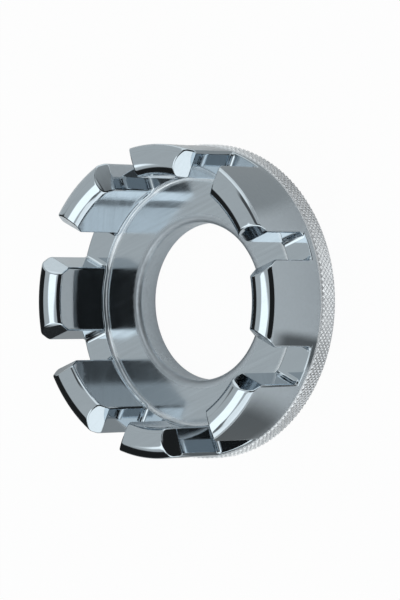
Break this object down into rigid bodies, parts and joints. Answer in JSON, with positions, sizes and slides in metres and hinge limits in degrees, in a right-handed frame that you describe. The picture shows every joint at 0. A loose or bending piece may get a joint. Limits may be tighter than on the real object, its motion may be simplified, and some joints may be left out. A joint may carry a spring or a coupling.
{
  "type": "spoke wrench",
  "caption": "Round spoke key: a knurled, chromed ring with a large centre hole and upright claws, between which lie open nipple jaws of different widths.",
  "frame": {"origin": "centre of the flat back face", "axes": "+Z along the ring's axis from the back face towards the claw tips, +X through the middle of jaw 1, jaws numbered anticlockwise seen from the tips"},
  "size_m": [0.036, 0.036, 0.0114],
  "materials": {
    "chrome": "bright chrome plate over a tumbled forging",
    "knurl_chrome": "chrome plate over a fine crossed knurl"
  },
  "bodies": {
    "root": {"web_plate": "chrome", "rim_ring": "chrome", "knurled_band": "knurl_chrome", "claw_1": "chrome", "claw_2": "chrome", "claw_3": "chrome", "claw_4": "chrome", "claw_5": "chrome", "claw_6": "chrome", "claw_7": "chrome", "claw_8": "chrome"}
  },
  "joints": []
}
